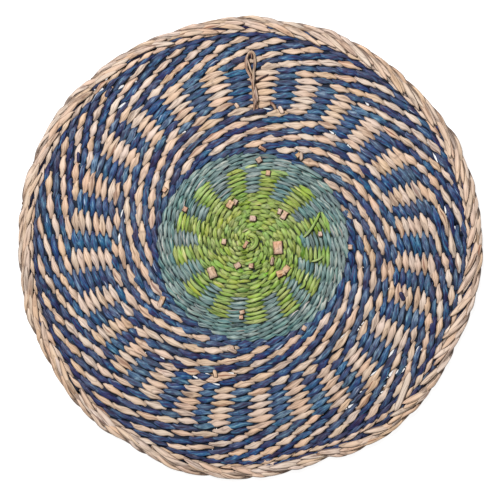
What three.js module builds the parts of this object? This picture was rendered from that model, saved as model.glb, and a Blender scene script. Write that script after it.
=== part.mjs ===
// Round seagrass placemat: twined rows inside a plaited rim, with a thin cord loop to hang it by.
// Millimetres, +Z up. The mat lies flat on z = 0, centred on the origin, with the loop towards +Y.

import * as THREE from 'three';
import { mergeGeometries, mergeVertices } from 'three/addons/utils/BufferGeometryUtils.js';

// Radius of the mat that the radii of the bands are given for; the real edge wanders a little about it.
const matRadius = 190;

// Edge of the mat, as the radius at each 15 degrees, counted anticlockwise from +X.
const edgeRadii = [
  189.5, 189.5, 189.5, 187.5, 188, 187.5, 188.5, 188, 189.5, 190.5, 192, 191.5,
  189.5, 190, 189.5, 191.5, 189.5, 190.5, 188.5, 185, 188, 188.5, 186.5, 188,
];

// The weave starts a little off the middle and comes back to it towards the edge.
const centreDrift = [
  { radius: 0, x: -0.7, y: 4.2 },
  { radius: 77, x: 0.9, y: 1.2 },
  { radius: 190, x: 0, y: 0 },
];

// Bands of twined rows from the centre outwards: outer radius, number of rows, thickness of the weave.
const bands = [
  { outer: 42.9, rows: 12, thick: 4.6 },
  { outer: 64.3, rows: 6, thick: 4.6 },
  { outer: 77.3, rows: 4, thick: 4.8 },
  { outer: 81.5, rows: 1, thick: 5.2 },
  { outer: 113.3, rows: 6, thick: 5.6 },
  { outer: 145.3, rows: 6, thick: 5.6 },
  { outer: 171.5, rows: 5, thick: 5.6 },
  { outer: 178.4, rows: 2, thick: 5.2 },
];
const rowGroove = 0.8;
const weaveSegments = 40;

// Plaited rim: an eight-sided section, flat underneath, with one raised leaf for each turn of the plait.
const rimWidth = 10.7;
const rimHeight = 7;
const rimLeaves = 68;
const rimLeafRelief = 0.6;
const rimSides = 8;
const rimSteps = rimLeaves * 3;

// Hanging loop: one cord that goes up, round the eye and back down, twisted round itself on the way.
const cordDiameter = 2;
const cordGap = 0.4;
const cordSides = 8;
const cordSteps = 54;
const cordRoute = [
  { x: 2.95, y: 111.5, lift: 0 },
  { x: 3.25, y: 115.1, lift: 1.7 },
  { x: 4.05, y: 117.6, lift: 2.4 },
  { x: 4.8, y: 120.0, lift: 1.7 },
  { x: 4.95, y: 122.8, lift: 0 },
  { x: 4.5, y: 127.3, lift: 0 },
  { x: 3.65, y: 130.6, lift: 0 },
  { x: 2.0, y: 133.4, lift: 0 },
  { x: 0.55, y: 136.3, lift: 0 },
  { x: -0.2, y: 138.9, lift: 0 },
  { x: -1.4, y: 141.6, lift: 0 },
  { x: -2.9, y: 144.8, lift: 0 },
  { x: -3.7, y: 148.6, lift: 0 },
  { x: -3.5, y: 152.4, lift: 0 },
  { x: -2.5, y: 155.6, lift: 0 },
  { x: -1.0, y: 158.0, lift: 0 },
  { x: 0.7, y: 158.9, lift: 0 },
  { x: 2.3, y: 157.8, lift: 0 },
  { x: 3.4, y: 154.8, lift: 0 },
  { x: 3.6, y: 150.8, lift: 0 },
  { x: 3.2, y: 146.6, lift: 0 },
  { x: 2.7, y: 142.6, lift: 0 },
  { x: 2.45, y: 138.9, lift: 0 },
  { x: 2.25, y: 136.2, lift: 1.7 },
  { x: 2.0, y: 133.4, lift: 2.4 },
  { x: 1.95, y: 130.6, lift: 1.7 },
  { x: 2.1, y: 127.3, lift: 0 },
  { x: 2.55, y: 122.8, lift: 0 },
  { x: 3.1, y: 120.0, lift: 0 },
  { x: 4.05, y: 117.6, lift: 0 },
  { x: 4.95, y: 115.1, lift: 0 },
  { x: 5.35, y: 111.5, lift: 0 },
];

const turn = 2 * Math.PI;
const rimMiddle = matRadius - rimWidth / 2;
const cornerTolerance = 1e-3;

function smoothStep(t) {
  return t * t * (3 - 2 * t);
}

// Radius of the mat's edge in a direction, eased between the rows of the table.
function edgeRadius(angle) {
  const place = ((angle / turn + 1) % 1) * edgeRadii.length;
  const before = Math.floor(place) % edgeRadii.length;
  const after = (before + 1) % edgeRadii.length;
  return THREE.MathUtils.lerp(edgeRadii[before], edgeRadii[after], smoothStep(place - Math.floor(place)));
}

// Where the middle of a row of the given radius lies.
function rowCentre(radius) {
  const after = Math.max(1, centreDrift.findIndex((row) => row.radius >= radius));
  const [a, b] = [centreDrift[after - 1], centreDrift[after]];
  const share = Math.min(1, (radius - a.radius) / (b.radius - a.radius));
  return { x: THREE.MathUtils.lerp(a.x, b.x, share), y: THREE.MathUtils.lerp(a.y, b.y, share) };
}

// Takes a point of the true circle to its place on the uneven mat.
function toUnevenMat(radius, angle) {
  const centre = rowCentre(Math.min(radius, matRadius));
  const stretch = 1 + (edgeRadius(angle) / matRadius - 1) * (radius / matRadius) ** 2;
  return {
    x: centre.x + radius * stretch * Math.cos(angle),
    y: centre.y + radius * stretch * Math.sin(angle),
  };
}

// Moves every point of a geometry by place(radius, angle, z), which gives its new x, y and z.
function movePoints(geometry, place) {
  const points = geometry.getAttribute('position');
  for (let i = 0; i < points.count; i += 1) {
    const radius = Math.hypot(points.getX(i), points.getY(i));
    const angle = Math.atan2(points.getY(i), points.getX(i));
    const moved = place(radius, angle, points.getZ(i));
    points.setXYZ(i, moved.x, moved.y, moved.z);
  }
  return geometry;
}

// Upper half section of the woven field, from its edge inwards: a crest for each row, a groove between rows.
function fieldProfile() {
  const top = [new THREE.Vector2(0, bands[0].thick - rowGroove)];
  let inner = 0;
  for (const band of bands) {
    const pitch = (band.outer - inner) / band.rows;
    for (let row = 0; row < band.rows; row += 1) {
      const crest = inner + (row + 0.5) * pitch;
      top.push(new THREE.Vector2(crest, band.thick));
      top.push(new THREE.Vector2(crest + pitch / 2, band.thick - rowGroove));
    }
    inner = band.outer;
  }
  return top.reverse();
}

// Section of the rim from its inner foot round the outside to its inner shoulder. It is turned by half
// a side, so that it has flats below, outside and above.
function rimProfile() {
  const halfSide = Math.PI / rimSides;
  return Array.from({ length: rimSides - 1 }, (_, i) => {
    const round = -Math.PI / 2 - halfSide + 2 * halfSide * i;
    return new THREE.Vector2(
      rimMiddle + rimWidth / 2 * Math.cos(round) / Math.cos(halfSide),
      rimHeight / 2 + rimHeight / 2 * Math.sin(round) / Math.cos(halfSide),
    );
  });
}

function turned(profile, segments) {
  return new THREE.LatheGeometry(profile, segments).rotateX(Math.PI / 2);
}

// The corners of a turned circle, as flat points.
function circlePoints(radius, count) {
  return Array.from({ length: count }, (_, i) => {
    const angle = (i / count) * turn;
    return new THREE.Vector2(radius * Math.sin(angle), -radius * Math.cos(angle));
  });
}

// Joins the few corners of the field's edge to the many corners of the rim's.
function makeCollar(fieldEdge, rimEdge) {
  const ring = new THREE.Shape(circlePoints(rimEdge.x, rimSteps));
  ring.holes.push(new THREE.Path(circlePoints(fieldEdge.x, weaveSegments)));
  const halfway = (fieldEdge.x + rimEdge.x) / 2;
  return movePoints(new THREE.ShapeGeometry(ring), (radius, angle) => ({
    x: radius * Math.cos(angle),
    y: radius * Math.sin(angle),
    z: radius < halfway ? fieldEdge.y : rimEdge.y,
  }));
}

// Raises the leaves of the plait round the rim's section; its flat foot only moves sideways.
function raiseLeaf(radius, angle, z) {
  const round = Math.atan2((z - rimHeight / 2) / rimHeight, (radius - rimMiddle) / rimWidth);
  const leaf = rimLeafRelief * Math.cos(rimLeaves * angle + round);
  const height = z > cornerTolerance ? z + leaf * Math.sin(round) : 0;
  return { radius: radius + leaf * Math.cos(round), z: height };
}

// Shares the corners of pieces that meet, and leaves out the triangles that shrink to a line on the axis.
function closedSkin(pieces) {
  const bare = pieces.map((piece) => piece.deleteAttribute('normal').deleteAttribute('uv'));
  const skin = mergeVertices(mergeGeometries(bare), cornerTolerance);
  const corners = skin.getIndex().array;
  const kept = [];
  for (let i = 0; i < corners.length; i += 3) {
    const [a, b, c] = corners.slice(i, i + 3);
    if (a !== b && b !== c && c !== a) {
      kept.push(a, b, c);
    }
  }
  skin.setIndex(kept);
  return skin;
}

// One skin: the rows above, the flat underside, and the rim with its two collars.
function makeMat() {
  const top = fieldProfile();
  const rim = rimProfile();
  const [fieldEdge, foot, shoulder] = [top[0], rim[0], rim[rim.length - 1]];
  const underEdge = new THREE.Vector2(fieldEdge.x, 0);
  const skin = closedSkin([
    turned(top, weaveSegments),
    turned([new THREE.Vector2(0, 0), underEdge], weaveSegments),
    makeCollar(underEdge, foot).rotateY(Math.PI),
    turned(rim, rimSteps),
    makeCollar(fieldEdge, shoulder),
  ]);
  return movePoints(skin, (radius, angle, z) => {
    const raised = radius > fieldEdge.x + cornerTolerance ? raiseLeaf(radius, angle, z) : { radius, z };
    return { ...toUnevenMat(raised.radius, angle), z: raised.z };
  });
}

function makeLoop() {
  const rest = Math.max(...bands.map((band) => band.thick)) + cordGap + cordDiameter / 2;
  const route = new THREE.CatmullRomCurve3(
    cordRoute.map((point) => new THREE.Vector3(point.x, point.y, rest + point.lift)),
  );
  const corners = Array.from({ length: cordSides }, (_, i) => {
    const angle = (i / cordSides) * turn;
    return new THREE.Vector2(Math.cos(angle), Math.sin(angle)).multiplyScalar(cordDiameter / 2);
  });
  return new THREE.ExtrudeGeometry(new THREE.Shape(corners), {
    steps: cordSteps,
    bevelEnabled: false,
    extrudePath: route,
  });
}

function namedMesh(name, geometry, colour, roughness) {
  const material = new THREE.MeshStandardMaterial({ color: colour, roughness, metalness: 0 });
  const mesh = new THREE.Mesh(geometry, material);
  mesh.name = name;
  return mesh;
}

const mat = new THREE.Group();
mat.name = 'seagrass_placemat';
mat.add(namedMesh('woven_mat', makeMat(), '#6f8f8a', 0.85));
mat.add(namedMesh('hanging_loop', makeLoop(), '#b08a5e', 0.8));

export default mat;
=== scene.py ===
import math
import bmesh
import bpy
import numpy as np
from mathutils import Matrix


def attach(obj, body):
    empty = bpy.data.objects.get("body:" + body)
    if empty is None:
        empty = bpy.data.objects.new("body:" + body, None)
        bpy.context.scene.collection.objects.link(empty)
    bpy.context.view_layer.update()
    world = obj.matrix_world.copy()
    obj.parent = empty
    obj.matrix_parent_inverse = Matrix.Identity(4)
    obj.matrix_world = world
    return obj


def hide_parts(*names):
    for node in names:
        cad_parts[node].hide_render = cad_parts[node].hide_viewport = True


# Round placemat of twined seagrass: lengths are in mm until a mesh is made, and it lies flat on z = 0.
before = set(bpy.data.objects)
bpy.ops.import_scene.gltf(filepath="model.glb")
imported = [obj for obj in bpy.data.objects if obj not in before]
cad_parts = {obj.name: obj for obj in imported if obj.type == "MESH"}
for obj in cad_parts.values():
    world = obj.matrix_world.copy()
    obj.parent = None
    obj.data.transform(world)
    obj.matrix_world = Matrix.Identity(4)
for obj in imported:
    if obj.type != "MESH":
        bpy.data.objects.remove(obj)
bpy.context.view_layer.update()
print("frame loaded")

mm = 0.001  # mm to Blender's metres
turn = 2 * math.pi

mat = {
    "radius": 190,
    "edge": [  # radius of the edge at each 15 degrees, anticlockwise from +X
        189.5, 189.5, 189.5, 187.5, 188, 187.5, 188.5, 188, 189.5, 190.5, 192, 191.5,
        189.5, 190, 189.5, 191.5, 189.5, 190.5, 188.5, 185, 188, 188.5, 186.5, 188,
    ],
    "drift": [(0, -0.7, 4.2), (77, 0.9, 1.2), (190, 0, 0)],  # row radius, x and y of that row's centre
    "seed": 7,
}
chance = np.random.default_rng(mat["seed"])


def eased(share):  # from 0 to 1 with a soft start and end
    return share * share * (3 - 2 * share)


def edgeRadius(angle):  # eased between the entries of the table
    table = np.array(mat["edge"])
    place = (np.asarray(angle) / turn) % 1 * len(table)
    before = np.floor(place).astype(int) % len(table)
    after = (before + 1) % len(table)
    return table[before] + (table[after] - table[before]) * eased(place - np.floor(place))


def onMat(radius, angle, z):  # true circle to uneven mat, as points in mm
    drift = np.array(mat["drift"])
    stretch = 1 + (edgeRadius(angle) / mat["radius"] - 1) * (radius / mat["radius"]) ** 2
    x = np.interp(radius, drift[:, 0], drift[:, 1]) + radius * stretch * np.cos(angle)
    y = np.interp(radius, drift[:, 0], drift[:, 2]) + radius * stretch * np.sin(angle)
    return np.stack(np.broadcast_arrays(x, y, z), axis=-1)


def unit(vectors):
    return vectors / np.maximum(np.linalg.norm(vectors, axis=-1, keepdims=True), 1e-9)


def outwardAt(angle, rise=0.0):  # direction away from the middle
    return np.stack([np.cos(angle), np.sin(angle), np.full(len(angle), rise)], axis=1)


section = {
    "clear": 0.02,  # mm above the table, where a strand is pressed flat on it
    "girth": 2.6,  # way round a strand, as a share of its half width and half thickness together
    "grass": 900,  # mm of pattern that the strands are cut from, each at a place of its own
    "rounding": 6,  # the higher, the narrower the dark edge of a strand
    "endLight": 0.3,  # light on the very ends
    "shade": 0.25,  # light on a strand where it passes under a spoke
}


def shades(wave, depth, fade):  # light on the upper and lower half of a strand that goes over and under
    least = section["shade"]
    above = least + (1 - least) * np.clip((np.cos(wave) + depth) / fade, 0, 1)
    below = least + (1 - least) * np.clip((depth - np.cos(wave)) / fade, 0, 1)
    return above, below


# Strands are flattened tubes, made from arrays because there are thousands of stitches. side points across
# the flat of the strand; light and lightBelow dim its upper and lower half, where other strands shade it.
def strand(points, side, halfWidth, halfThick, tone, roll=0.0, light=1.0, lightBelow=None,
           sides=12, ridge=0.08, ridges=3, twist=0.02, boxy=1.0, edge=0.75):
    count = len(points)
    lightBelow = light if lightBelow is None else lightBelow
    halfWidth, halfThick, tone, roll, above, below = (
        np.broadcast_to(value, count) for value in (halfWidth, halfThick, tone, roll, light, lightBelow))
    along = unit(np.gradient(points, axis=0))
    side = unit(side - along * (side * along).sum(1, keepdims=True))
    up = np.cross(side, along)
    cosine, sine = np.cos(roll)[:, None], np.sin(roll)[:, None]
    side, up = side * cosine + up * sine, up * cosine - side * sine
    length = np.concatenate([[0], np.cumsum(np.linalg.norm(np.diff(points, axis=0), axis=1))])
    around = np.arange(sides) * turn / sides
    crease = 1 + ridge * np.cos(ridges * around[None, :] + twist * length[:, None] + chance.uniform(0, turn))
    across = np.sign(np.cos(around)) * np.abs(np.cos(around)) ** boxy
    upward = np.sign(np.sin(around)) * np.abs(np.sin(around)) ** boxy
    wide = halfWidth[:, None] * across * crease
    thick = halfThick[:, None] * upward * crease
    skin = points[:, None] + side[:, None] * wide[..., None] + up[:, None] * thick[..., None]
    corners = np.concatenate([skin.reshape(-1, 3), points[:1], points[-1:]])
    corners[:, 2] = np.maximum(corners[:, 2], section["clear"])
    i, j = np.meshgrid(np.arange(count - 1), np.arange(sides), indexing="ij")
    k = (j + 1) % sides
    quads = np.stack([i * sides + j, (i + 1) * sides + j, (i + 1) * sides + k, i * sides + k], axis=-1)
    girth = section["girth"] * (halfWidth.mean() + halfThick.mean())
    place = np.stack([j, j, j + 1, j + 1], axis=-1) * girth / sides + chance.uniform(0, section["grass"])
    run = np.stack([length[i], length[i + 1], length[i + 1], length[i]], axis=-1)
    run = run + chance.uniform(0, section["grass"])
    ring = np.arange(sides)
    nextRing = (ring + 1) % sides
    last = (count - 1) * sides
    head = np.stack([np.full(sides, count * sides), ring, nextRing], axis=-1)
    tail = np.stack([np.full(sides, count * sides + 1), last + nextRing, last + ring], axis=-1)
    edgeLight = 1 - edge * np.abs(np.cos(around)) ** section["rounding"]  # the neighbours shade the edges
    upper = 0.5 + 0.5 * np.sin(around)
    lights = (above[:, None] * upper + below[:, None] * (1 - upper)) * edgeLight
    return {
        "corners": corners,
        "quads": quads.reshape(-1, 4),
        "uv": np.stack([run, place], axis=-1).reshape(-1, 2),
        "ends": [head, tail],
        "tone": np.concatenate([np.repeat(tone, sides), [tone[0], tone[-1]]]),
        "light": np.append(lights, [section["endLight"]] * 2),
    }


def joined(name, strands, material):  # one mesh of many strands, in metres
    starts = np.cumsum([0] + [len(s["corners"]) for s in strands])
    corners = np.concatenate([s["corners"] for s in strands]) * mm
    quads = np.concatenate([s["quads"] + start for s, start in zip(strands, starts)])
    ends = np.concatenate([end + start for s, start in zip(strands, starts) for end in s["ends"]])
    mesh = bpy.data.meshes.new(name)
    mesh.vertices.add(len(corners))
    mesh.vertices.foreach_set("co", corners.astype(np.float32).ravel())
    mesh.loops.add(quads.size + ends.size)
    mesh.loops.foreach_set("vertex_index", np.concatenate([quads.ravel(), ends.ravel()]).astype(np.int32))
    sizes = np.concatenate([np.full(len(quads), 4), np.full(len(ends), 3)])
    mesh.polygons.add(len(sizes))
    mesh.polygons.foreach_set("loop_start", (np.cumsum(sizes) - sizes).astype(np.int32))
    mesh.polygons.foreach_set("use_smooth", np.ones(len(sizes), bool))
    strandUv = np.concatenate([s["uv"] for s in strands]) * mm
    uv = np.concatenate([strandUv, np.zeros((ends.size, 2))])
    mesh.uv_layers.new(name="strand").data.foreach_set("uv", uv.astype(np.float32).ravel())
    for key in ("tone", "light"):
        values = np.concatenate([s[key] for s in strands]).astype(np.float32)
        mesh.attributes.new(key, "FLOAT", "POINT").data.foreach_set("value", values)
    mesh.update(calc_edges=True)
    mesh.validate()
    mesh.materials.append(material)
    piece = bpy.data.objects.new(name, mesh)
    bpy.context.scene.collection.objects.link(piece)
    return piece


def toLinear(hexColour):  # sRGB hex to linear RGBA
    parts = [int(hexColour[i:i + 2], 16) / 255 for i in (1, 3, 5)]
    return [p / 12.92 if p <= 0.04045 else ((p + 0.055) / 1.055) ** 2.4 for p in parts] + [1]


# Adds a node; inputs gives a value or an output socket for the name or the number of an input socket.
def addNode(tree, kind, inputs=None, **settings):
    node = tree.nodes.new(kind)
    for key, value in settings.items():
        setattr(node, key, value)
    for key, value in (inputs or {}).items():
        if isinstance(value, bpy.types.NodeSocket):
            tree.links.new(value, node.inputs[key])
        else:
            node.inputs[key].default_value = value
    return node


def fillRamp(node, stops):
    ramp = node.color_ramp
    while len(ramp.elements) < len(stops):
        ramp.elements.new(0.5)
    for element, (place, colour) in zip(ramp.elements, stops):
        element.position = place
        element.color = toLinear(colour)


pattern = {  # what all the kinds of grass share
    "fibreSpan": (0.29, 0.71),  # noise of the darkest and of the palest fibres
    "streakPlace": (0.6, 0.9, 1), "streakScale": 0.8, "streakFade": 0.07,
    "bladeSpan": (0.3, 0.7),  # noise of the two ends of a blade's change in hue and strength of colour
    "foldPlace": (0.8, 0.55, 1), "foldWidth": 0.035, "foldRelief": 0.7,
    "bumpMm": 0.35, "refraction": 1.45,
}


# Fibres along the strand pick a place of the ramp, then come streaks and the blade's own hue; painted shade
# from the light attribute and in the folds darkens it toward the shade colour.
def grassMaterial(name, look):
    material = bpy.data.materials.new(name)
    material.use_nodes = True
    tree = material.node_tree
    shader = tree.nodes["Principled BSDF"]
    place = addNode(tree, "ShaderNodeUVMap", uv_map="strand")
    tone = addNode(tree, "ShaderNodeAttribute", attribute_name="tone")
    light = addNode(tree, "ShaderNodeAttribute", attribute_name="light")
    scale = 1 / (look["fibreMm"] * mm)
    stretched = addNode(tree, "ShaderNodeMapping", {
        "Vector": place.outputs[0], "Scale": (scale * look["fibreStretch"], scale, 1)})
    fibre = addNode(tree, "ShaderNodeTexNoise", {
        "Vector": stretched.outputs[0], "Scale": 1.0, "Detail": 3.0, "Roughness": 0.6})
    low, high = pattern["fibreSpan"]
    fibreTone = addNode(tree, "ShaderNodeMapRange", {
        "Value": fibre.outputs["Fac"], "From Min": low, "From Max": high})
    mixed = addNode(tree, "ShaderNodeMath", {
        0: fibreTone.outputs[0], 1: look["fibreShare"]}, operation="MULTIPLY")
    toned = addNode(tree, "ShaderNodeMath", {
        0: tone.outputs["Fac"], 1: 1 - look["fibreShare"], 2: mixed.outputs[0]}, operation="MULTIPLY_ADD")
    ramp = addNode(tree, "ShaderNodeValToRGB", {"Fac": toned.outputs[0]})
    fillRamp(ramp, look["ramp"])
    streakPlace = addNode(tree, "ShaderNodeVectorMath", {
        0: stretched.outputs[0], 1: pattern["streakPlace"]}, operation="MULTIPLY")
    streak = addNode(tree, "ShaderNodeTexNoise", {
        "Vector": streakPlace.outputs[0], "Scale": pattern["streakScale"], "Detail": 1.0})
    streakMask = addNode(tree, "ShaderNodeMapRange", {
        "Value": streak.outputs["Fac"], "From Min": look["streakFrom"],
        "From Max": look["streakFrom"] + pattern["streakFade"]})
    streaked = addNode(tree, "ShaderNodeMix", {
        "Factor": streakMask.outputs[0], "A": ramp.outputs[0], "B": toLinear(look["streak"])},
        data_type="RGBA")
    blade = addNode(tree, "ShaderNodeTexNoise", {
        "Vector": place.outputs[0], "Scale": 1 / (look["bladeMm"] * mm), "Detail": 0.0})
    low, high = pattern["bladeSpan"]
    strength = addNode(tree, "ShaderNodeMapRange", {
        "Value": blade.outputs["Fac"], "From Min": low, "From Max": high,
        "To Min": 1 - look["uneven"], "To Max": 1 + look["uneven"]})
    bladeParts = addNode(tree, "ShaderNodeSeparateColor", {"Color": blade.outputs["Color"]})
    hue = addNode(tree, "ShaderNodeMapRange", {
        "Value": bladeParts.outputs[1], "From Min": low, "From Max": high,
        "To Min": 0.5 - look["hue"], "To Max": 0.5 + look["hue"]})
    varied = addNode(tree, "ShaderNodeHueSaturation", {
        "Hue": hue.outputs[0], "Saturation": strength.outputs[0], "Color": streaked.outputs["Result"]})
    foldPlace = addNode(tree, "ShaderNodeVectorMath", {
        0: stretched.outputs[0], 1: pattern["foldPlace"]}, operation="MULTIPLY")
    fold = addNode(tree, "ShaderNodeTexNoise", {"Vector": foldPlace.outputs[0], "Scale": 1.0, "Detail": 0.0})
    fromFold = addNode(tree, "ShaderNodeMath", {0: fold.outputs["Fac"], 1: 0.5}, operation="SUBTRACT")
    foldGap = addNode(tree, "ShaderNodeMath", {0: fromFold.outputs[0]}, operation="ABSOLUTE")
    foldLine = addNode(tree, "ShaderNodeMapRange", {
        "Value": foldGap.outputs[0], "From Min": 0.0, "From Max": pattern["foldWidth"]})  # 0 in a fold
    # Painted shade in the folds: their light falls by the look's fold share.
    foldLight = addNode(tree, "ShaderNodeMath", {
        0: foldLine.outputs[0], 1: look["fold"], 2: 1 - look["fold"]}, operation="MULTIPLY_ADD")
    depth = addNode(tree, "ShaderNodeMath", {
        0: light.outputs["Fac"], 1: foldLight.outputs[0]}, operation="MULTIPLY")
    # Painted shade: the colour mixes toward the look's shade colour where the painted light is low.
    colour = addNode(tree, "ShaderNodeMix", {
        "Factor": depth.outputs[0], "A": toLinear(look["shadeColour"]), "B": varied.outputs[0]}, data_type="RGBA")
    tree.links.new(colour.outputs["Result"], shader.inputs["Base Color"])
    relief = addNode(tree, "ShaderNodeMath", {
        0: foldLine.outputs[0], 1: pattern["foldRelief"], 2: fibre.outputs["Fac"]}, operation="MULTIPLY_ADD")
    bump = addNode(tree, "ShaderNodeBump", {
        "Height": relief.outputs[0], "Strength": look["bump"], "Distance": pattern["bumpMm"] * mm})
    tree.links.new(bump.outputs[0], shader.inputs["Normal"])
    shader.inputs["Roughness"].default_value = look["rough"]
    shader.inputs["IOR"].default_value = pattern["refraction"]
    shader.inputs["Specular IOR Level"].default_value = look["gloss"]
    return material


# Undyed seagrass, sun dried: pinkish straw with a faint waxy gleam, and lengthwise folds darkened with
# painted shade.
naturalGrass = grassMaterial("seagrass_natural", {
    "fibreMm": 0.9, "fibreStretch": 0.05, "fibreShare": 0.62, "streak": "#8F6A5A", "streakFrom": 0.65,
    "bladeMm": 45, "uneven": 0.22, "hue": 0.006, "fold": 0.36, "shadeColour": "#46322B",
    "bump": 0.8, "rough": 0.55, "gloss": 0.4,
    "ramp": [
        (0.2, "#8E7362"), (0.36, "#B89F8B"), (0.46, "#CCB29B"),
        (0.54, "#D1B5A1"), (0.66, "#D6BBA3"), (0.85, "#DEC6B3")],
})
# Seagrass dyed indigo in a bath: navy to teal blue, purple where it dyed twice and pale where it missed.
blueGrass = grassMaterial("seagrass_indigo_dyed", {
    "fibreMm": 0.75, "fibreStretch": 0.09, "fibreShare": 0.62, "streak": "#A9B4C6", "streakFrom": 0.7,
    "bladeMm": 40, "uneven": 0.18, "hue": 0.012, "fold": 0.5, "shadeColour": "#161930",
    "bump": 0.7, "rough": 0.5, "gloss": 0.3,
    "ramp": [(0.2, "#281E3A"), (0.36, "#323154"), (0.5, "#36496C"), (0.62, "#3B6080"), (0.85, "#7A96A8")],
})
# Seagrass dyed in a weak teal bath: greyed by the straw colour under it.
tealGrass = grassMaterial("seagrass_teal_dyed", {
    "fibreMm": 0.9, "fibreStretch": 0.07, "fibreShare": 0.65, "streak": "#B9AEA6", "streakFrom": 0.66,
    "bladeMm": 30, "uneven": 0.35, "hue": 0.02, "fold": 0.45, "shadeColour": "#142024",
    "bump": 0.8, "rough": 0.5, "gloss": 0.35,
    "ramp": [(0.2, "#33464D"), (0.38, "#577271"), (0.5, "#6F8885"), (0.64, "#849993"), (0.85, "#B4B6AA")],
})
# Seagrass dyed green over yellow straw: olive to lime from blade to blade.
greenGrass = grassMaterial("seagrass_green_dyed", {
    "fibreMm": 0.9, "fibreStretch": 0.08, "fibreShare": 0.6, "streak": "#C9C48C", "streakFrom": 0.65,
    "bladeMm": 25, "uneven": 0.15, "hue": 0.026, "fold": 0.5, "shadeColour": "#16240A",
    "bump": 0.8, "rough": 0.5, "gloss": 0.35,
    "ramp": [
        (0.15, "#46601E"), (0.34, "#75893F"), (0.46, "#97A35E"),
        (0.56, "#8CAA48"), (0.7, "#A0A868"), (0.9, "#9CCB40")],
})
# The spokes inside the weave: seagrass painted dark as the shade inside the weave, tinted navy or green after
# the rows over it.
spokeGrass = grassMaterial("seagrass_spokes_painted_shade", {
    "fibreMm": 1.0, "fibreStretch": 0.06, "fibreShare": 0.2, "streak": "#4A4A50", "streakFrom": 0.7,
    "bladeMm": 40, "uneven": 0.1, "hue": 0.01, "fold": 0.4, "shadeColour": "#181D26",
    "bump": 0.6, "rough": 0.6, "gloss": 0.2,
    "ramp": [(0.15, "#1C2440"), (0.45, "#26304A"), (0.8, "#34441A")],
})
# Cut ends of undyed spokes: pinkish tan, the pith showing.
endGrass = grassMaterial("seagrass_cut_ends", {
    "fibreMm": 0.8, "fibreStretch": 0.2, "fibreShare": 0.5, "streak": "#8A5F4C", "streakFrom": 0.66,
    "bladeMm": 8, "uneven": 0.2, "hue": 0.01, "fold": 0.35, "shadeColour": "#2A1C14",
    "bump": 0.8, "rough": 0.6, "gloss": 0.3,
    "ramp": [(0.15, "#7E5638"), (0.35, "#AC8A70"), (0.5, "#C4A287"), (0.65, "#D0AE94"), (0.85, "#DCC0A8")],
})
# Cord of the loop: thin undyed straws twisted together, tan with pale and red-brown straws.
cordGrass = grassMaterial("seagrass_cord_undyed", {
    "fibreMm": 0.5, "fibreStretch": 0.05, "fibreShare": 0.45, "streak": "#74402F", "streakFrom": 0.6,
    "bladeMm": 20, "uneven": 0.2, "hue": 0.01, "fold": 0.45, "shadeColour": "#2E1C18",
    "bump": 0.6, "rough": 0.5, "gloss": 0.4,
    "ramp": [(0.0, "#3E2A30"), (0.12, "#6B4A40"), (0.35, "#A0826F"), (0.6, "#BCA08A"), (0.9, "#DAC4AC")],
})
print("materials made")

# Camera straight above, as the photo is taken, with a long lens.
view = {"x": -0.41, "y": -2.03, "width": 406.85, "height": 3000, "sensor": 36}  # mm; width is the view's
lens = bpy.data.cameras.new("camera")
lens.sensor_width = view["sensor"]
lens.lens = view["sensor"] * view["height"] / view["width"]
lens.clip_end = 20
camera = bpy.data.objects.new("camera", lens)
camera.location = (view["x"] * mm, view["y"] * mm, view["height"] * mm)
bpy.context.scene.collection.objects.link(camera)
bpy.context.scene.camera = camera

# Hanging loop: one cord of twisted straws, up round the eye and back down, its runs crossing twice.
loop = {
    "diameter": 2,  # mm, as the lengths below
    "tones": (0.2, 0.5, 0.85),  # one for each straw
    "strawRadius": 0.62, "lay": 0.58,  # of a straw, and how far its middle lies from the cord's
    "pitch": 30, "rest": 7.0,  # length of a turn, and height of the cord's middle
    "steps": 260,
    "route": [  # x, y and lift above the rest height
        (2.95, 111.5, 0), (3.25, 115.1, 1.7), (4.05, 117.6, 2.4), (4.8, 120.0, 1.7), (4.95, 122.8, 0),
        (4.5, 127.3, 0), (3.65, 130.6, 0), (2.0, 133.4, 0), (0.55, 136.3, 0), (-0.2, 138.9, 0),
        (-1.4, 141.6, 0), (-2.9, 144.8, 0), (-3.7, 148.6, 0), (-3.5, 152.4, 0), (-2.5, 155.6, 0),
        (-1.0, 158.0, 0), (0.7, 158.9, 0), (2.3, 157.8, 0), (3.4, 154.8, 0), (3.6, 150.8, 0),
        (3.2, 146.6, 0), (2.7, 142.6, 0), (2.45, 138.9, 0), (2.25, 136.2, 1.7), (2.0, 133.4, 2.4),
        (1.95, 130.6, 1.7), (2.1, 127.3, 0), (2.55, 122.8, 0), (3.1, 120.0, 0), (4.05, 117.6, 0),
        (4.95, 115.1, 0), (5.35, 111.5, 0),
    ],
}


def smoothRoute(points, steps):  # Catmull-Rom curve through the points, evenly spaced
    points = np.array(points, float)
    padded = np.concatenate([[2 * points[0] - points[1]], points, [2 * points[-1] - points[-2]]])
    fine = []
    for a, b, c, d in zip(padded, padded[1:], padded[2:], padded[3:]):
        for t in np.linspace(0, 1, 12, endpoint=False):
            bend = (2 * a - 5 * b + 4 * c - d) * t * t + (3 * b - a - 3 * c + d) * t ** 3
            fine.append(0.5 * (2 * b + (c - a) * t + bend))
    fine = np.array(fine + [points[-1]])
    length = np.concatenate([[0], np.cumsum(np.linalg.norm(np.diff(fine, axis=0), axis=1))])
    at = np.linspace(0, length[-1], steps)
    return np.stack([np.interp(at, length, fine[:, k]) for k in range(3)], axis=1), length[-1]


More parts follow.
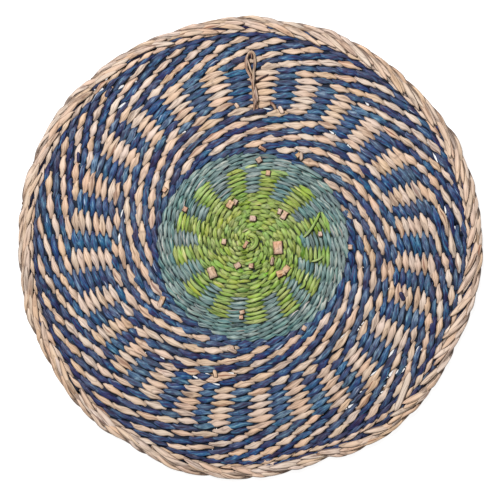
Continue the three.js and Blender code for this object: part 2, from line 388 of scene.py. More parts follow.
loopPoints = [(x, y, loop["rest"] + lift) for x, y, lift in loop["route"]]
loopLine, loopLength = smoothRoute(loopPoints, loop["steps"])
loopAlong = unit(np.gradient(loopLine, axis=0))
loopSide = unit(np.cross(loopAlong, [0, 0, 1]))
loopUp = np.cross(loopSide, loopAlong)
loopStraws = []
for straw, tone in enumerate(loop["tones"]):
    twisted = np.linspace(0, loopLength, loop["steps"]) / loop["pitch"] * turn
    angle = straw * turn / len(loop["tones"]) + twisted
    offset = loop["lay"] * (loopSide * np.cos(angle)[:, None] + loopUp * np.sin(angle)[:, None])
    loopStraws.append(strand(loopLine + offset, loopSide, loop["strawRadius"], loop["strawRadius"], tone,
                             sides=8, ridge=0.14, edge=0.9))
hangingLoop = joined("loop_cord", loopStraws, cordGrass)
print(f"loop made, {loopLength:.1f} mm of cord")

# Twined rows: a pair of weft strands runs outwards in one spiral, crossing between each spoke and the next.
weave = {
    "steps": 9,  # sections of a strand for each spoke it passes
    "spiral": [  # turns from the middle, radius of the row
        (0, 0), (6, 21.2), (12, 42.9), (18.24, 64.3), (22.14, 78.3), (23, 83), (29, 116.1), (35, 148),
        (39.76, 171.7), (40.76, 175.4), (41.76, 179.4), (42.6, 182.6),
    ],
    "height": [(0, 4.6), (77, 4.7), (84, 5.4), (171, 5.6), (183, 4.6)],  # radius, thickness of the weave
    "leastPitch": 3.2,  # mm from a row to the next, in the first turns too
    "halfWidth": 0.42,  # mean half width of a strand, as a share of the pitch, like the next two
    "swell": 0.12,  # how much wider a strand is over a spoke, and narrower where it passes its partner
    "point": 0.055,  # how much more than that a natural strand swells
    "edge": 0.55,  # how dark the sides of a strand are, where its neighbours shade them
    "blueEdge": 0.75,  # the same for a blue strand
    "roll": 0.3,  # radians that a strand tips over between two spokes
    "shade": (0.55, 0.75),  # how far down a strand stays light, and over what part of its way it fades
    "thicker": 0.15,  # share by which a strand is thicker where it is narrow
    "cutWidth": 0.12,  # share of its width that a strand starts and ends with
    "uneven": {  # from stitch to stitch
        "lean": 0.2, "thick": 0.06, "height": 0.04, "row": 0.05, "width": 0.085, "roll": 0.08,
    },
    "toneDrift": 0.05, "driftWindow": 25,  # slow change of tone, and the spokes it takes
    "strandThick": 0.82,  # half thickness of a strand where it lies over a spoke
    "jitter": 0.07,  # how far a stitch strays along its row, as a share of a stitch
    "rowWander": 0.05,  # how far a row strays from its spiral, as a share of its pitch
    "slits": [  # degrees and radius of the places where light comes through between two rows
        (83, 112), (6, 166), (8, 108), (11, 161), (26, 167), (46, 113), (51, 149), (54, 112),
        (120, 107), (129, 168), (132, 156), (133, 176), (166, 108), (176, 108), (231, 116), (247, 116),
        (251, 109), (256, 116), (261, 108), (302, 156), (308, 114), (307, 152), (312, 158), (314, 147),
        (315, 107), (317.5, 153), (321, 160), (323, 147), (323, 113), (329, 158), (343, 116),
    ],
    "slit": {
        "open": 1.05, "soft": 0.7,  # mm that a row moves, and mm from the slit where it moves most of that
        "long": 4.2, "reach": 4.0,  # mm along and across the rows that a slit is felt
        "narrow": 0.21,  # share by which the strands beside it narrow
    },
    "bulge": [  # row radius, then how far the rows there lie outside their spiral at each 30 degrees
        (60, 0, 0, 0, 0, 0, 0, 0, 0, 0, 0, 0, 0),
        (77, -1.2, -1.2, -1.2, -1.2, -1.2, -1.2, -1.2, -1.0, -1.2, -1.2, -1.4, -1.4),
        (98, 0.2, 0.6, -0.2, -1.6, -1.8, -1.8, -2.7, -1.0, -2.4, -2.8, -3.9, -3.0),
        (129, 0, 0, -0.4, -1.6, -1.5, -1.7, -2.0, -1.2, -1.0, -0.9, -1.6, -1.6),
        (144, -0.6, -0.6, -0.6, -1.2, -1.3, -1.5, -1.5, -1.3, -0.9, -0.9, -1.6, -0.8),
        (160, 0.7, 0.4, 0.4, -0.8, -1.2, -1.2, -1.2, -0.8, 0, 0, -0.4, 0.7),
        (168, 2.2, 2.0, 1.4, 0.9, 0.8, 0.8, 0.8, 0.5, 0.7, 0.9, 0.5, 1.2),
        (186, 0, 0, 0, 0, 0, 0, 0, 0, 0, 0, 0, 0),
    ],
}
# Zones of the weave. end: turns from the middle; spokes: how many, evenly spaced, or columns: degrees of
# every second spoke; odd: an odd number of spokes, so that the pair changes places each turn; lean: of a
# stitch; long: share of the way that stitches over even spokes take; play: how uneven; blunt: how little
# a strand narrows; dark: how much more of it lies in shade; dye: how much more (-) or less the blue took.
zones = [
    {"end": 3, "spokes": 10, "lean": 0.26, "long": 0.5, "play": 2.4, "blunt": 0.06, "dark": 0.25},
    {"end": 6, "spokes": 16, "lean": 0.28, "long": 0.5, "play": 2.4, "blunt": 0.06, "dark": 0.25},
    {"end": 10, "spokes": 22, "lean": 0.28, "long": 0.5, "play": 2.0, "blunt": 0.05, "dark": 0.2},
    {"end": 18.24, "lean": 0.26, "long": 0.53, "play": 1.4, "blunt": 0.03, "dark": 0.15, "columns": [
        18, 44.5, 75.5, 102, 133, 162.5, 189, 216.5, 244, 275, 303, 327.5, 350.5]},
    {"end": 22.14, "spokes": 36, "lean": 0.28, "long": 0.5, "play": 1.3, "blunt": 0.02},
    {"end": 28, "lean": 0.3, "long": 0.5, "dye": -0.03, "blunt": 0.025, "odd": True, "columns": [
        0.5, 18, 37, 55, 70, 88, 108.5, 130, 145.5, 163.5, 184, 204.5, 221, 241, 258.5, 274, 293.5, 313,
        335.5, 353.5]},
    {"end": 29, "lean": 0.28, "long": 0.52, "blunt": 0.025, "columns": [
        2, 13.5, 25, 40.5, 53.5, 64, 79, 95, 111.5, 125.5, 138.5, 153.5, 168.5, 181, 193.5, 207.5, 217.5,
        230, 245.5, 254, 267, 282.5, 296, 307, 323, 337, 350]},
    {"end": 35, "lean": 0.27, "long": 0.54, "dye": 0.05, "blunt": 0.02, "columns": [
        7.8, 17.9, 31.4, 45.6, 57.7, 70.1, 85.4, 102.4, 117.1, 131.3, 143.9, 158.7, 171.9, 184.3,
        199.3, 211.2, 221.8, 235.7, 248.1, 259.3, 273.5, 287.3, 300.6, 312.7, 328.8, 342.4, 354.2]},
    {"end": 39.76, "lean": 0.33, "long": 0.5, "dye": -0.04, "blunt": 0.025, "odd": True, "columns": [
        9.5, 20, 28.5, 38.5, 50, 61, 72.5, 83.5, 93.5, 102.5, 111, 121.5, 134, 143, 151.5, 162, 174,
        186, 195, 204, 215, 226, 239, 250, 262, 271, 280, 290.5, 301, 311.5, 322, 332, 341.5, 351, 360]},
    {"end": 40.76, "spokes": 72, "lean": 0.2, "long": 0.5, "dye": -0.12},
    {"end": 42.6, "spokes": 76, "lean": 0.18, "long": 0.5, "dye": -0.12},
]


def spokeAngles(zone):  # in degrees; the first strand lies over the even ones, from 0 on
    if "spokes" in zone:
        return np.arange(zone["spokes"]) * 360 / zone["spokes"]
    columns = np.array(zone["columns"], float)
    between = (columns + np.append(columns[1:], columns[0] + 360)) / 2
    angles = np.stack([columns, between], axis=1).ravel()
    return angles[:-1] if zone.get("odd") else angles


def crossings():  # where the weft passes each spoke, in turns, and its zone
    places, owners, joins = [], [], []
    start = 0.0
    for number, zone in enumerate(zones):
        angles = spokeAngles(zone) / 360
        evenSpoke = np.arange(len(angles)) % 2 == 0
        turns, even = [], []
        for row in range(int(start) - 1, int(zone["end"]) + 2):
            turns.extend(row + angles)
            even.extend(evenSpoke if "odd" not in zone or row % 2 else ~evenSpoke)
        turns, even = np.array(turns), np.array(even)
        turns = turns + chance.normal(0, zone.get("play", 1) * weave["jitter"] / len(angles), len(turns))
        inside = (turns >= start) & (turns < zone["end"])
        turns, even = turns[inside], even[inside]
        if "columns" in zone and len(places) % 2 == (1 if even[0] else 0):
            turns = turns[1:]
        joins.append(len(places))
        places.extend(turns)
        owners.extend([number] * len(turns))
        start = zone["end"]
    for join in joins[1:]:  # the crossings about a change of zone share its odd space
        low, high = join - 4, join + 4
        places[low:high + 1] = np.linspace(places[low], places[high], high - low + 1)
    return np.array(places), np.array(owners)


def bulge(radius, angle):  # how far a row lies outside its spiral, in mm
    table = np.array(weave["bulge"], float)
    rings, sizes = table[:, 0], table[:, 1:]
    across = np.interp(radius, rings, np.arange(len(rings)))
    around = (angle / turn) % 1 * sizes.shape[1]
    ring, sector = np.minimum(across.astype(int), len(rings) - 2), around.astype(int) % sizes.shape[1]
    share, ahead = across - ring, eased(around - sector)
    following = (sector + 1) % sizes.shape[1]
    inner = sizes[ring, sector] * (1 - ahead) + sizes[ring, following] * ahead
    outer = sizes[ring + 1, sector] * (1 - ahead) + sizes[ring + 1, following] * ahead
    return inner * (1 - share) + outer * share


spokeTurns, spokeZones = crossings()
spokeCount = len(spokeTurns)
print(f"{spokeCount} crossings")


def zoneValues(key, usual=0.0):  # a value of the zones, for each crossing
    return np.array([zone.get(key, usual) for zone in zones])[spokeZones]


spokePlay = zoneValues("play", 1)
rowWander = np.convolve(chance.normal(0, weave["rowWander"], spokeCount + 6), np.ones(7) / 2.6, mode="valid")
spiral = np.array(weave["spiral"])
heights = np.array(weave["height"])


def rowRadius(turns):  # of the plain spiral, in mm
    return np.interp(turns, spiral[:, 0], spiral[:, 1])


def thicknessAt(radius):  # of the weave, in mm
    return np.interp(radius, heights[:, 0], heights[:, 1])


def slitPlace(degrees, radius):  # the nearest place between two rows, in mm
    share = degrees / 360
    row = round(float(np.interp(radius, spiral[:, 1], spiral[:, 0])) - share - 0.5)
    between = np.array([rowRadius(row + 0.5 + share)])
    angle = np.array([share * turn])
    return onMat(between + bulge(between, angle), angle, 0)[0]


slitPlaces = [slitPlace(degrees, radius) for degrees, radius in weave["slits"]]


def partRows(points):  # pushes the rows apart at the slits; second result: 1 in a slit, 0 away from all
    slit = weave["slit"]
    outward = unit(points * [1, 1, 0])
    nearest = np.zeros(len(points))
    for place in slitPlaces:
        away = (points - place) * [1, 1, 0]
        across = (away * outward).sum(1)
        beside = np.sqrt(np.maximum((away ** 2).sum(1) - across ** 2, 0))
        near = np.exp(-(beside / slit["long"]) ** 2 - (across / slit["reach"]) ** 2)
        points = points + outward * (slit["open"] * near * np.tanh(across / slit["soft"]))[:, None]
        nearest = np.maximum(nearest, near)
    return points, nearest


# One strand of the pair: with phase 0 it lies over the even spokes, with phase 1 over the odd ones.
def weftStrand(phase, fromTurn, toTurn, tones, point, edge):
    uneven = weave["uneven"]
    first, last = np.searchsorted(spokeTurns, [fromTurn, toTurn])
    first, last = max(0, first - 1), min(spokeCount - 1, last + 1)
    t = np.linspace(first, last, (last - first) * weave["steps"] + 1)  # way along the strand, in spokes
    nodes = np.arange(spokeCount)

    def alongIt(values):  # from a value for each spoke to one for each section
        return np.interp(t, nodes, values)

    def wander(size):
        return alongIt(size * spokePlay * chance.normal(0, 1, spokeCount).clip(-2, 2))

    reach = zoneValues("long")[:-1]
    halfway = spokeTurns[:-1] + np.diff(spokeTurns) * np.where(nodes[:-1] % 2 == 0, reach, 1 - reach)
    places = np.sort(np.concatenate([nodes, nodes[:-1] + 0.5]))
    turns = np.interp(t, places, np.sort(np.concatenate([spokeTurns, halfway])))
    radius = rowRadius(turns)
    pitch = np.maximum(rowRadius(turns + 0.5) - rowRadius(turns - 0.5), weave["leastPitch"])
    thickness = thicknessAt(radius)
    lean = alongIt(zoneValues("lean")) * (1 + wander(uneven["lean"]))
    wave = math.pi * (t + phase)
    flat = weave["strandThick"] * (1 + wander(uneven["thick"]))
    swing = thickness / 2 - flat
    z = thickness / 2 + swing * np.cos(wave) * (1 + wander(uneven["height"]))
    shift = (alongIt(rowWander) + wander(uneven["row"]) - lean * np.sin(wave)) * pitch
    blunt = alongIt(zoneValues("blunt"))
    mean = weave["halfWidth"] + blunt - 0.3 * point  # pointed strands are slimmer too
    swell = weave["swell"] - blunt + point
    halfWidth = pitch * (mean + swell * np.cos(2 * wave)) * (1 + wander(uneven["width"]))
    halfThick = flat * (1 + weave["thicker"] - weave["thicker"] * np.cos(2 * wave))
    depth, fade = weave["shade"]
    above, below = shades(wave, depth - alongIt(zoneValues("dark")), fade)
    ending = np.clip(np.minimum(t - first, last - t) + weave["cutWidth"], 0, 1)
    angle = turns * turn
    points, nearSlit = partRows(onMat(radius + bulge(radius, angle) + shift, angle, z))
    halfWidth = halfWidth * (1 - weave["slit"]["narrow"] * nearSlit)
    toneLine = alongIt(tones[np.minimum(nodes + phase, spokeCount - 1)])
    roll = weave["roll"] * np.sin(2 * wave) + wander(uneven["roll"])
    return strand(points, outwardAt(angle), halfWidth * ending, halfThick * ending, toneLine, roll=roll,
                  light=above, lightBelow=below, twist=0.05, boxy=0.75, edge=edge)


def stitchTones(spread, dyed):  # one tone a stitch, with a slow drift along the strand
    window = weave["driftWindow"]
    fine = chance.normal(0, 1, spokeCount + window - 1)
    drift = np.convolve(fine, np.ones(window) / math.sqrt(window), mode="valid")
    jitter = np.repeat(chance.normal(0, spread, spokeCount // 2 + 1), 2)[:spokeCount]
    return np.clip(0.5 + weave["toneDrift"] * drift + jitter + 2 * dyed * zoneValues("dye"), 0, 1)


wefts = [  # name, material, spread of its tones, runs of the two strands: phase, first turn, last turn
    ("weft_green", greenGrass, 0.3, [(0, 0.4, 18.24), (1, 0.4, 11.85)]),
    ("weft_teal", tealGrass, 0.25, [(0, 18.24, 22.14), (1, 11.85, 22.14)]),
    ("weft_blue_inner", blueGrass, 0.16, [(0, 22.14, 23.03), (1, 22.14, 35)]),
    ("weft_natural_inner", naturalGrass, 0.17, [(0, 23.03, 35)]),
    ("weft_blue_outer", blueGrass, 0.16, [
        (0, 39.76, 40.76), (1, 35, 40.76), (0, 41.76, 42.6), (1, 41.76, 42.6)]),
    ("weft_natural_outer", naturalGrass, 0.17, [(0, 35, 39.76), (0, 40.76, 41.76), (1, 40.76, 41.76)]),
]
weftPieces = []
for name, material, spread, runs in wefts:
    dyed = material is blueGrass
    point = weave["point"] if material is naturalGrass else 0
    edge = weave["blueEdge"] if dyed else weave["edge"]
    made = []
    for phase, firstTurn, lastTurn in runs:
        tones = stitchTones(spread, dyed)
        made.append(weftStrand(phase, firstTurn, lastTurn, tones, point, edge))
    weftPieces.append(joined(name, made, material))
print("twined rows made")

# Spokes: flat bundles that run outwards inside the rows, more of them in each zone.
spokes = {
    "share": 0.52,  # half width of a spoke, as a share of the way to the next
    "thick": 0.8, "over": 1.5, "step": 1.2,  # mm: half thickness, way into the next zone, length of a section
    "open": 0.95, "slitReach": 3.2, "slitSide": 8,  # how much a spoke thins at a slit, and the mm it is felt
    "greenEnd": 18.24,  # turns to which the spokes' painted shade is tinted green, under the green and teal rows
    "green": (0.8, 0.9), "blue": (0.1, 0.35),  # tone and painted light
}
spokeStrands = []
start = 0.3
for zone in zones:
    angles = np.radians(spokeAngles(zone))
    inner, outer = rowRadius([start, zone["end"]])
    radius = np.arange(max(inner - spokes["over"], 0.5), outer + spokes["over"], spokes["step"])
    tone, light = spokes["green"] if zone["end"] <= spokes["greenEnd"] else spokes["blue"]
    gaps = np.diff(np.append(angles, angles[0] + turn))
    for angle, after, before in zip(angles, gaps, np.roll(gaps, 1)):
        width = spokes["share"] * radius * (after + before) / 2
        line = onMat(radius, np.full(len(radius), angle), thicknessAt(radius) / 2)
        side = np.tile([-math.sin(angle), math.cos(angle), 0], (len(radius), 1))
        for place in slitPlaces:
            away = (line - place) * [1, 1, 0]
            beside = np.abs((away * side).sum(1))
            near = np.exp(-(((away ** 2).sum(1) - beside ** 2) / spokes["slitReach"] ** 2))
            width = width * (1 - spokes["open"] * near * (beside < spokes["slitSide"]))
        spokeStrands.append(strand(line, side, width, spokes["thick"], tone, light=light, sides=6,
                                   ridge=0.03))
    start = zone["end"]
spokePiece = joined("spokes", spokeStrands, spokeGrass)
print("spokes made")

# Plaited rim: a two-strand edge cord, and the spoke ends tucked under it as blades with their tips free.
rim = {
    "leaves": 68, "height": 7,
    "cordRadius": 187.0, "cordWidth": 3.7, "cordMiddle": 3.5, "cordSwing": 1.9, "cordThick": 0.85,
    "cordLean": 1.2,  # mm that a leaf of the edge cord leans in and out
    "cordHalf": 0.4, "cordSwell": 0.08,  # mean half width of a leaf as a share of its width, and its change
    "cordTone": (0.48, 0.17), "bladeTone": (0.58, 0.2),  # middle and spread
    "uneven": {"along": 0.22, "lean": 0.2, "shift": 0.35, "height": 0.15, "width": 0.12},  # edge cord
    "bladeUneven": {"place": 0.3, "tip": 0.8, "bend": 0.4, "height": 0.15},
    "shade": (0.6, 0.6),  # as for the weave
    "layers": [  # blades in a turn, how far outside the tips' line a tip lies, height, lengths in leaves
        (64, 3.0, 4.9, 1.5, 2.1), (56, -0.3, 5.4, 1.5, 2.1),
    ],
    "bladeEnd": 184.6, "bendAt": 0.78,  # radius of a blade's bend, and how far along it is
    "root": 187, "core": 185.2, "coreHalf": 1.9,  # radii of the roots and of the cord inside the rim
    "tipUp": 1.0, "slope": 1.5, "plunge": 1.4,  # mm that a tip lies up, and how the blade goes down from it
    "bladeWidth": (2.0, 2.7), "bladeThick": 0.45, "tilt": 0.12,
    "profile": [(0, 0.1), (0.05, 0.4), (0.18, 0.78), (0.4, 1), (0.75, 0.9), (1, 0.6)],  # place, width
    "glow": [(0, 0.9), (0.08, 1), (0.7, 1), (1, 0.3)],  # place, painted light: dim at the root, where the blade goes under the cord
    "foldWidth": 0.8, "foldThick": 0.4,  # the turned-in border of a blade, a dark strand of painted shade under its inner edge
    "shorter": [(0, 1), (285, 1), (298, 0.84), (330, 0.84), (342, 1), (360, 1)],  # degrees, share of a length
    "innerTip": [  # degrees, radius that the tips reach
        (0, 178.6), (60, 177.6), (70, 174.5), (80, 178), (100, 180.5), (180, 180), (250, 180.5), (275, 181),
        (320, 179), (337, 174.5), (350, 175.5), (360, 178.6),
    ],
    "dents": [  # degrees, mm in or out, degrees to each side
        (289.7, -3.2, 3.5), (82, -1.4, 3), (337.5, -1.3, 3), (28.5, 1.2, 3), (142, 1.2, 5), (69.5, 1.4, 3.5),
        (307, 1.4, 3.5), (237, -1.4, 3), (196.5, 1, 3), (251, 1.2, 3), (6.5, -0.8, 1.5), (110, -1, 3),
    ],
}


def rimOffset(angle):  # the edge's own small dents and bulges
    degrees = np.degrees(angle) % 360
    total = np.zeros_like(degrees)
    for place, depth, reach in rim["dents"]:
        away = np.abs((degrees - place + 180) % 360 - 180)
        total = total + depth * np.exp(-(away / reach) ** 2)
    return total


leafStarts = np.arange(rim["leaves"] + 1)
leafPlace = np.linspace(0, rim["leaves"], rim["leaves"] * 10 + 1)


def leafNoise(size):  # unevenness from leaf to leaf
    return np.interp(leafPlace, leafStarts, np.append(chance.normal(0, size, rim["leaves"]), 0))


edgeStrands = []
uneven = rim["uneven"]
for phase in (0, 1):
    drift = np.convolve(chance.normal(0, uneven["along"], rim["leaves"]), np.ones(3) / 1.7, mode="same")
    stray = np.interp(leafPlace, leafStarts, np.append(drift, drift[0]))
    angle = (leafPlace + stray) / rim["leaves"] * turn
    wave = math.pi * (leafPlace + phase)
    shift = rim["cordLean"] * np.sin(wave) * (1 + leafNoise(uneven["lean"])) + leafNoise(uneven["shift"])
    z = rim["cordMiddle"] + rim["cordSwing"] * np.cos(wave) + leafNoise(uneven["height"])
    points = onMat(rim["cordRadius"] + rimOffset(angle) + shift, angle, z)
    leafShare = rim["cordHalf"] + rim["cordSwell"] * np.cos(2 * wave)
    halfWidth = rim["cordWidth"] * leafShare * (1 + leafNoise(uneven["width"]))
    halfThick = rim["cordThick"] * (1.2 - 0.2 * np.cos(2 * wave))
    tones = np.interp(leafPlace, leafStarts, chance.normal(*rim["cordTone"], rim["leaves"] + 1))
    above, below = shades(wave, *rim["shade"])
    edgeStrands.append(strand(points, outwardAt(angle), halfWidth, halfThick, tones, light=above,
                              lightBelow=below, roll=-0.45 * np.sin(wave) * np.cos(wave), boxy=0.8, edge=0.9))
edgeCord = joined("rim_edge_cord", edgeStrands, naturalGrass)

blades = []
loose = rim["bladeUneven"]
s = np.linspace(0, 1, 13)  # way along a blade, from its tip
profile = np.interp(s, *np.transpose(rim["profile"]))
glow = np.interp(s, *np.transpose(rim["glow"]))
for number, tipOut, height, shortest, longest in rim["layers"]:
    for leaf in range(number):
        for below in (False, True):
            tip = (leaf + chance.uniform(-loose["place"], loose["place"])) / number * turn
            tipDegrees = math.degrees(tip) % 360
            shorter = np.interp(tipDegrees, *np.transpose(rim["shorter"]))
            length = shorter * chance.uniform(shortest, longest) / rim["leaves"] * turn
            angle = tip + length * s
            inner = np.interp(tipDegrees, *np.transpose(rim["innerTip"]))
            inner = inner + tipOut + chance.normal(0, loose["tip"]) + 0.5 * rimOffset(tip)
            outer, root = np.array([rim["bladeEnd"], rim["root"]]) + rimOffset(tip + length)
            bend = outer + chance.normal(0, loose["bend"])
            radius = np.interp(s, [0, rim["bendAt"], 1], [inner, bend, root])
            z = height + rim["tipUp"] - rim["slope"] * s - rim["plunge"] * s ** 5
            z = z + chance.normal(0, loose["height"])
            z = rim["height"] - z if below else z
            wide = chance.uniform(*rim["bladeWidth"]) * profile
            side = outwardAt(angle, -rim["tilt"] if below else rim["tilt"])
            tone = chance.normal(*rim["bladeTone"]) - 0.2 * s
            blades.append(strand(onMat(radius, angle, z), side, wide, rim["bladeThick"], tone, light=glow,
                                 sides=10, ridge=0.12, boxy=0.8, edge=0.9))
            # Painted shade: a narrow dark strand along the blade's inner edge, its turned-in border, standing
            # for the shadow line under the blade.
            fold = onMat(radius - 0.8 * wide, angle, z + (0.4 if below else -0.4))
            kept = 2 + int(shorter * chance.integers(0, 7))
            foldWidth = rim["foldWidth"] * np.linspace(1, 0.4, kept)
            blades.append(strand(fold[:kept], side[:kept], foldWidth, rim["foldThick"], 0.3, light=0.35,
                                 sides=6))
# The cord inside the rim, dimmed with painted shade where it shows between the blade roots.
angle = np.linspace(0, turn, 361)
core = onMat(rim["core"] + rimOffset(angle), angle, rim["cordMiddle"])
blades.append(strand(core, outwardAt(angle), rim["coreHalf"], rim["coreHalf"], 0.4, light=0.62, sides=8))
rimBlades = joined("rim_blades", blades, naturalGrass)
print("rim made")

# Ends of the added spokes, which come up through the weave, cut square; and a few loose blades and tails.
ends = {
    "thick": 0.75, "rise": 0.1,  # mm: half thickness of a cut end, and its height over the weave
    "tip": 0.3, "tilt": 0.15,  # mm that one end lies lower, and how far it leans to a side
    "shadow": {"wide": 0.35, "thick": 0.5, "tone": 0.1, "light": 0.05},  # painted shadow: a dark strand in the gap about a piece
    "endShadow": (0.3, -0.35, -0.2), "strawShadow": (0.2, -0.25, -0.3),  # mm that the painted shadow lies off its piece
    "chips": [  # x, y, width, length, degrees, tone
        (-16.7, 35.2, 5.0, 6.3, 60, 0.6), (-12.6, 37.0, 3.5, 4.4, 60, 0.45), (23.6, 29.3, 3.2, 4.2, 70, 0.55),
        (27.3, 26.3, 4.4, 6.8, 60, 0.65), (1.8, 23.8, 4.6, 4.4, 90, 0.5), (-21.6, 4.9, 3.4, 4.3, 80, 0.6),
        (22.2, 0.0, 7.2, 10.2, 95, 0.6), (-4.1, 2.4, 2.8, 6.0, 60, 0.5), (-10.6, -14.6, 4.5, 5.0, 30, 0.55),
        (0.4, -14.8, 3.8, 3.5, 0, 0.5), (-31.3, -20.2, 6.2, 9.0, 110, 0.45), (24.6, -20.9, 5.4, 6.6, 20, 0.6),
        (28.9, -17.5, 4.6, 6.2, 50, 0.65), (17.5, -11.0, 2.4, 6.2, 80, 0.2), (-6.9, -52.5, 3.6, 3.8, 20, 0.5),
        (-7.7, -56.6, 3.4, 3.0, 0, 0.45), (6.9, 71.2, 4.6, 4.0, 120, 0.45), (14.2, 60.6, 3.4, 4.0, 80, 0.55),
        (-53.3, 31.3, 3.6, 3.8, 60, 0.5), (38.7, 75.3, 3.4, 3.8, 40, 0.5), (-72.0, -42.7, 3.8, 6.6, 70, 0.6),
        (-15.1, -81.8, 3.4, 3.8, 100, 0.5), (43.5, -65.5, 3.4, 3.8, 60, 0.5), (81.0, 0.4, 3.4, 3.8, 90, 0.5),
        (-69.6, 46.8, 3.0, 3.8, 50, 0.5), (56.6, 11.0, 3.4, 3.8, 100, 0.55), (9.6, 80.6, 2.8, 6.0, 150, 0.15),
    ],
    "loose": [  # kind, half width, tone, lift, then degrees and radius of its points about the middle
        ("green", 1.9, 0.4, 0.9, [(103, 10.6), (78, 9.9), (56, 8.2), (32, 4.3), (235, 2.6)]),
        ("green", 1.1, 0.75, 0.3, [(10, 43), (16, 50), (22, 57), (27, 63)]),
        ("green", 0.9, 0.85, 0.3, [(347, 51), (350, 56), (354, 60)]),
        ("green", 1.0, 0.9, 0.3, [(320, 52), (325, 53), (330, 51)]),
        ("teal", 1.5, 0.65, 0.3, [(44, 81.0), (50, 79.4), (56, 77.8), (62, 76.3)]),
        ("natural", 2.5, 0.8, 0.5, [(311.5, 177.5), (315, 173), (319, 168), (322, 164.6)]),
        ("blue", 1.6, 0.02, 0.3, [(131, 172), (132.5, 171), (134, 169.5)]),
        ("blue", 1.1, 0.2, 0.3, [(151, 160), (152, 158.5), (153.6, 156.4)]),
        ("blue", 1.6, 0.03, 0.3, [(341, 132), (342.2, 129), (343.5, 127)]),
        ("natural", 1.6, 0.4, 0.3, [(76.5, 112), (77.5, 114.5), (78.5, 117)]),
        ("natural", 1.3, 0.35, 0.3, [(60, 82), (61, 85), (62, 87.5)]),
        ("natural", 1.7, 0.6, 0.3, [(210, 83), (211.5, 86), (213.5, 88.5)]),
        ("natural", 1.6, 0.25, 0.3, [(257, 84), (260, 85), (262.5, 86)]),
        ("natural", 1.5, 0.6, 0.3, [(253.5, 104), (254.5, 107), (255, 109.5)]),
        ("natural", 1.4, 0.7, 0.3, [(95, 114), (96, 117.5)]),
        ("cord", 0.5, -1, 0.6, [(88.6, 134.5), (86.6, 137.7), (83.9, 141.8)]),
        ("cord", 1.2, 0.2, 0.3, [(82.2, 119), (80.8, 117), (79.6, 113.8)]),
        ("blue", 1.8, 0.1, 2.1, [(92.8, 107.2), (90.2, 109.3), (87.3, 110.9), (83.8, 111.9)]),
        ("cord", 0.75, 0.6, 1.3, [(90, 158.2), (91, 154), (90.4, 147.5), (89.4, 140.2)]),
        ("cord", 0.8, 0.85, 1.5, [(88.9, 141), (88.8, 132), (88.6, 122), (88.5, 114)]),
        ("cord", 0.6, 0.05, 1.9, [(89.9, 158.6), (89.7, 156), (89.6, 153.6)]),
    ],
}


def weaveTop(points):  # height of the weave's face
    return thicknessAt(np.linalg.norm(points[:, :2], axis=1))


shadow = ends["shadow"]
chips = []
for x, y, width, length, degrees, tone in ends["chips"]:
    along = np.array([math.cos(math.radians(degrees)), math.sin(math.radians(degrees)), 0])
    s = np.linspace(-0.5, 0.5, 5)
    line = np.array([x, y, 0]) + along * (s * length)[:, None]
    tipped = np.linspace(-ends["tip"], ends["tip"], 5) * chance.uniform(-1, 1)
    line[:, 2] = weaveTop(line) + ends["rise"] + tipped
    across = np.tile([-along[1], along[0], chance.uniform(-ends["tilt"], ends["tilt"])], (5, 1))
    half = width / 2 * (1 + chance.normal(0, 0.1, 5))
    chips.append(strand(line, across, half, ends["thick"], chance.normal(tone, 0.05), boxy=0.45, edge=0.9,
                        ridges=5, ridge=0.04))
    # Painted shadow about the end: a dark strand, offset to the lower right.
    around = line + along * (s * 2 * shadow["wide"])[:, None] + ends["endShadow"]
    chips.append(strand(around, across, half + shadow["wide"], ends["thick"], shadow["tone"],
                        light=shadow["light"], boxy=0.7))
spokeEnds = joined("spoke_ends", chips, endGrass)

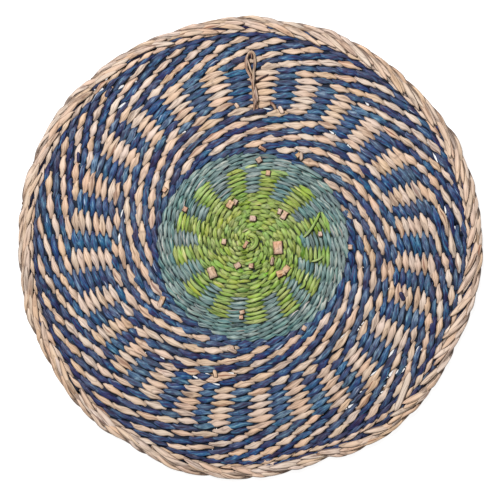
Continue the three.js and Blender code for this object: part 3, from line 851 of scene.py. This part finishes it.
looseKinds = {
    "green": greenGrass, "teal": tealGrass, "natural": naturalGrass, "blue": blueGrass, "cord": cordGrass,
}
loosePieces = []
s = np.linspace(0, 1, 16)
taper = np.interp(s, [0, 0.15, 0.85, 1], [0.45, 1, 1, 0.45])
for kind, material in looseKinds.items():
    made = []
    for owner, half, tone, lift, places in ends["loose"]:
        if owner == kind:
            degrees, radii = np.transpose(places)
            flat = radii[:, None] * outwardAt(np.radians(degrees))
            line, length = smoothRoute(flat, len(s))
            line[:, 2] = weaveTop(line) + lift - 1.4 * np.abs(2 * s - 1) ** 6  # its ends go into the weave
            across = unit(np.cross(np.gradient(line, axis=0), [0, 0, 1]))
            made.append(strand(line, across, half * taper, min(0.6, half), tone, boxy=0.8))
            # Painted shadow about the blade: a dark strand, offset to the lower right.
            made.append(strand(line + ends["strawShadow"], across, half * taper + shadow["wide"],
                               min(shadow["thick"], half), shadow["tone"], light=shadow["light"]))
    loosePieces.append(joined(f"loose_{kind}", made, material))
print("ends and loose blades made")

# Floor and light: a white ground that glows like a light table, and a soft light above to the upper left.
stage = {
    "floor": 12, "glow": 0.85,  # metres across, and how bright it glows
    "lightSize": 0.55, "lightPlace": (-0.62, 0.9, 1.65),  # metres
    "power": 43, "world": 0.41,  # watts, and the strength of the light from all sides
}
paper = bpy.data.materials.new("light_table")  # translucent white top, lit from below
paper.use_nodes = True
paperLook = paper.node_tree.nodes["Principled BSDF"].inputs
paperLook["Base Color"].default_value = toLinear("#A0A0A0")
paperLook["Roughness"].default_value = 0.9
paperLook["Emission Color"].default_value = toLinear("#FFFFFF")
paperLook["Emission Strength"].default_value = stage["glow"]
floorMesh = bpy.data.meshes.new("floor")
ground = bmesh.new()
bmesh.ops.create_grid(ground, x_segments=1, y_segments=1, size=stage["floor"] / 2)
ground.to_mesh(floorMesh)
ground.free()
floorMesh.materials.append(paper)
floor = bpy.data.objects.new("floor", floorMesh)
bpy.context.scene.collection.objects.link(floor)
soft = bpy.data.lights.new("soft_light", "AREA")
soft.shape = "DISK"
soft.size = stage["lightSize"]
soft.energy = stage["power"]
softLight = bpy.data.objects.new("soft_light", soft)
softLight.location = stage["lightPlace"]
softLight.rotation_euler = (-softLight.location).to_track_quat("-Z", "Y").to_euler()
bpy.context.scene.collection.objects.link(softLight)
world = bpy.data.worlds.new("studio")
world.use_nodes = True
world.node_tree.nodes["Background"].inputs["Color"].default_value = toLinear("#FFFFFF")
world.node_tree.nodes["Background"].inputs["Strength"].default_value = stage["world"]
bpy.context.scene.world = world
bpy.context.scene.view_settings.view_transform = "Standard"
print("stage made")

matPieces = weftPieces + [edgeCord, rimBlades, spokeEnds, *loosePieces]
for piece in [spokePiece, *matPieces]:
    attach(piece, "root")
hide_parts("woven_mat")
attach(hangingLoop, "root")
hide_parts("hanging_loop")
triangles = sum(len(p.vertices) - 2 for o in [spokePiece, hangingLoop, *matPieces] for p in o.data.polygons)
print(f"{triangles} triangles")
